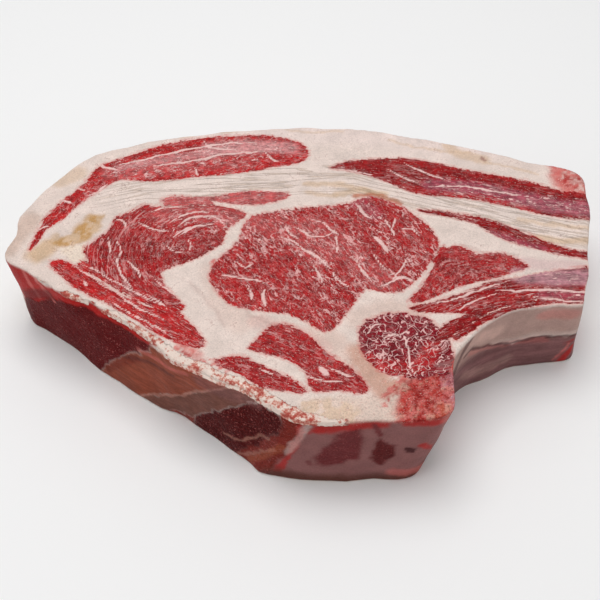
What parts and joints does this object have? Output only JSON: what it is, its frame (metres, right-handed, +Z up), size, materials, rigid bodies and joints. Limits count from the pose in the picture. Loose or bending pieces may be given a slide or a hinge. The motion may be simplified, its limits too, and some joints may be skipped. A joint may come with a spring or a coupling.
{
  "type": "ribeye steak",
  "caption": "Thick raw bone-in ribeye steak with marbled lean muscles in cream fat, sawn bones at the front and a curved rib side, lying flat on its cut face.",
  "frame": {"origin": "Centre of the box in plan, on the surface that the lower cut face rests on.", "axes": "+X along the longest side, towards the end with the straight cut; +Y from the sawn bones to the fat cap; +Z up, across the thickness."},
  "size_m": [0.2632, 0.1736, 0.0487],
  "materials": {
    "lean": "wet",
    "dark_lean": "wet",
    "fat": "satin",
    "bone": "satin",
    "marrow": "wet",
    "ligament": "satin",
    "cartilage": "satin",
    "membrane": "satin"
  },
  "bodies": {
    "root": {"cap_muscle_left": "lean", "cap_muscle_right": "lean", "cartilage": "cartilage", "edge_strip": "lean", "eye_muscle": "lean", "fat": "fat", "feather_bone_left": "marrow", "feather_bone_right": "marrow", "front_strip": "lean", "inner_muscle": "lean", "ligament": "ligament", "rib": "membrane", "rib_muscle": "lean", "round_muscle": "dark_lean", "shoulder_muscle": "lean", "side_muscle": "lean", "thin_strip": "lean", "upper_strip": "lean", "vertebra": "bone"}
  },
  "joints": []
}
